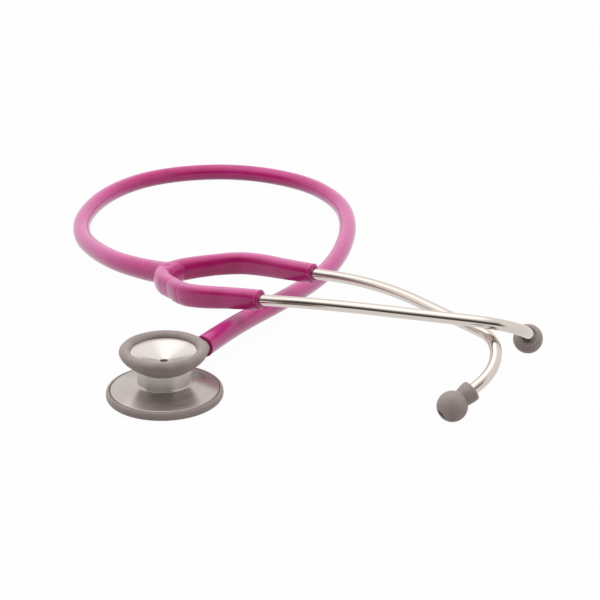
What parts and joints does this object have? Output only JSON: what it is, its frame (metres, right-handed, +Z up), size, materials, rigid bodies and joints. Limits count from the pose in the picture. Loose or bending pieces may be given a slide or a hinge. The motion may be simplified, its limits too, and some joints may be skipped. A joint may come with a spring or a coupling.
{
  "type": "stethoscope",
  "caption": "Dual-head stethoscope with a bell and diaphragm on a turning stem, looped tubing, a sprung yoke and two bent ear tubes with soft tips.",
  "frame": {"origin": "centre of the diaphragm's face, on the surface that the instrument lies on", "axes": "+Z up, out of the bell; +X along the length of the instrument towards the ear tips; +Y towards the loop of the tubing"},
  "size_m": [0.215, 0.307, 0.0334],
  "materials": {
    "turned_stainless_steel": "fine concentric turning marks",
    "polished_stainless_steel": "polished",
    "spring_steel": "plain",
    "nickel_plated_brass": "nickel plated",
    "pearl_magenta_pvc": "satin, pearlescent",
    "grey_elastomer": "matte",
    "glass_epoxy": "satin"
  },
  "bodies": {
    "root": {"tubing": "pearl_magenta_pvc", "yoke_junction": "pearl_magenta_pvc", "leaf_spring": "spring_steel", "stem": "polished_stainless_steel"},
    "head": {"chestpiece_body": "turned_stainless_steel", "bell_rim": "grey_elastomer", "diaphragm_rim": "grey_elastomer", "diaphragm": "glass_epoxy", "stem_clip": "spring_steel", "detent_ball": "spring_steel", "detent_spring": "spring_steel", "detent_screw": "spring_steel"},
    "right_arm": {"right_yoke_arm": "pearl_magenta_pvc"},
    "left_arm": {"left_yoke_arm": "pearl_magenta_pvc"},
    "right_tube": {"right_ear_tube": "polished_stainless_steel", "right_tip_ferrule": "nickel_plated_brass"},
    "left_tube": {"left_ear_tube": "polished_stainless_steel", "left_tip_ferrule": "nickel_plated_brass"},
    "right_tip": {"right_ear_tip": "grey_elastomer"},
    "left_tip": {"left_ear_tip": "grey_elastomer"}
  },
  "joints": [
    {"name": "head_swivel", "type": "hinge", "parent": "root", "child": "head", "pos_m": [0, 0, 0.01], "axis": [0.4648, 0.8854, 0], "continuous": true},
    {"name": "right_arm_spread", "type": "hinge", "parent": "root", "child": "right_arm", "pos_m": [-0.00132, 0.07627, 0.01666], "axis": [0.0658, -0.7853, -0.6156], "range_deg": [0, 40], "stiffness_Nm_per_rad": 0.4, "deforming": ["leaf_spring"]},
    {"name": "left_arm_spread", "type": "hinge", "parent": "root", "child": "left_arm", "pos_m": [0.01465, 0.10021, 0.01785], "axis": [0.1266, -0.1493, 0.9807], "range_deg": [0, 16], "stiffness_Nm_per_rad": 0.4},
    {"name": "right_tube_turn", "type": "hinge", "parent": "right_arm", "child": "right_tube", "pos_m": [0.03835, 0.04266, 0.02467], "axis": [0.8308, -0.5329, 0.1603], "range_deg": [0, 30]},
    {"name": "left_tube_turn", "type": "hinge", "parent": "left_arm", "child": "left_tube", "pos_m": [0.06092, 0.07585, 0.0235], "axis": [-0.8119, 0.5751, -0.1006], "range_deg": [0, 30]},
    {"name": "right_tip_turn", "type": "hinge", "parent": "right_tube", "child": "right_tip", "pos_m": [0.14838, 0.02001, 0.01828], "axis": [0.1274, 0.8495, -0.512], "continuous": true},
    {"name": "left_tip_turn", "type": "hinge", "parent": "left_tube", "child": "left_tip", "pos_m": [0.12249, -0.01754, 0.01129], "axis": [-0.7683, -0.4228, -0.4807], "continuous": true}
  ],
  "couplings": [
    {"joint": "left_arm_spread", "follows": "right_arm_spread", "ratio": 0.4},
    {"joint": "left_tube_turn", "follows": "right_tube_turn", "ratio": 1}
  ]
}
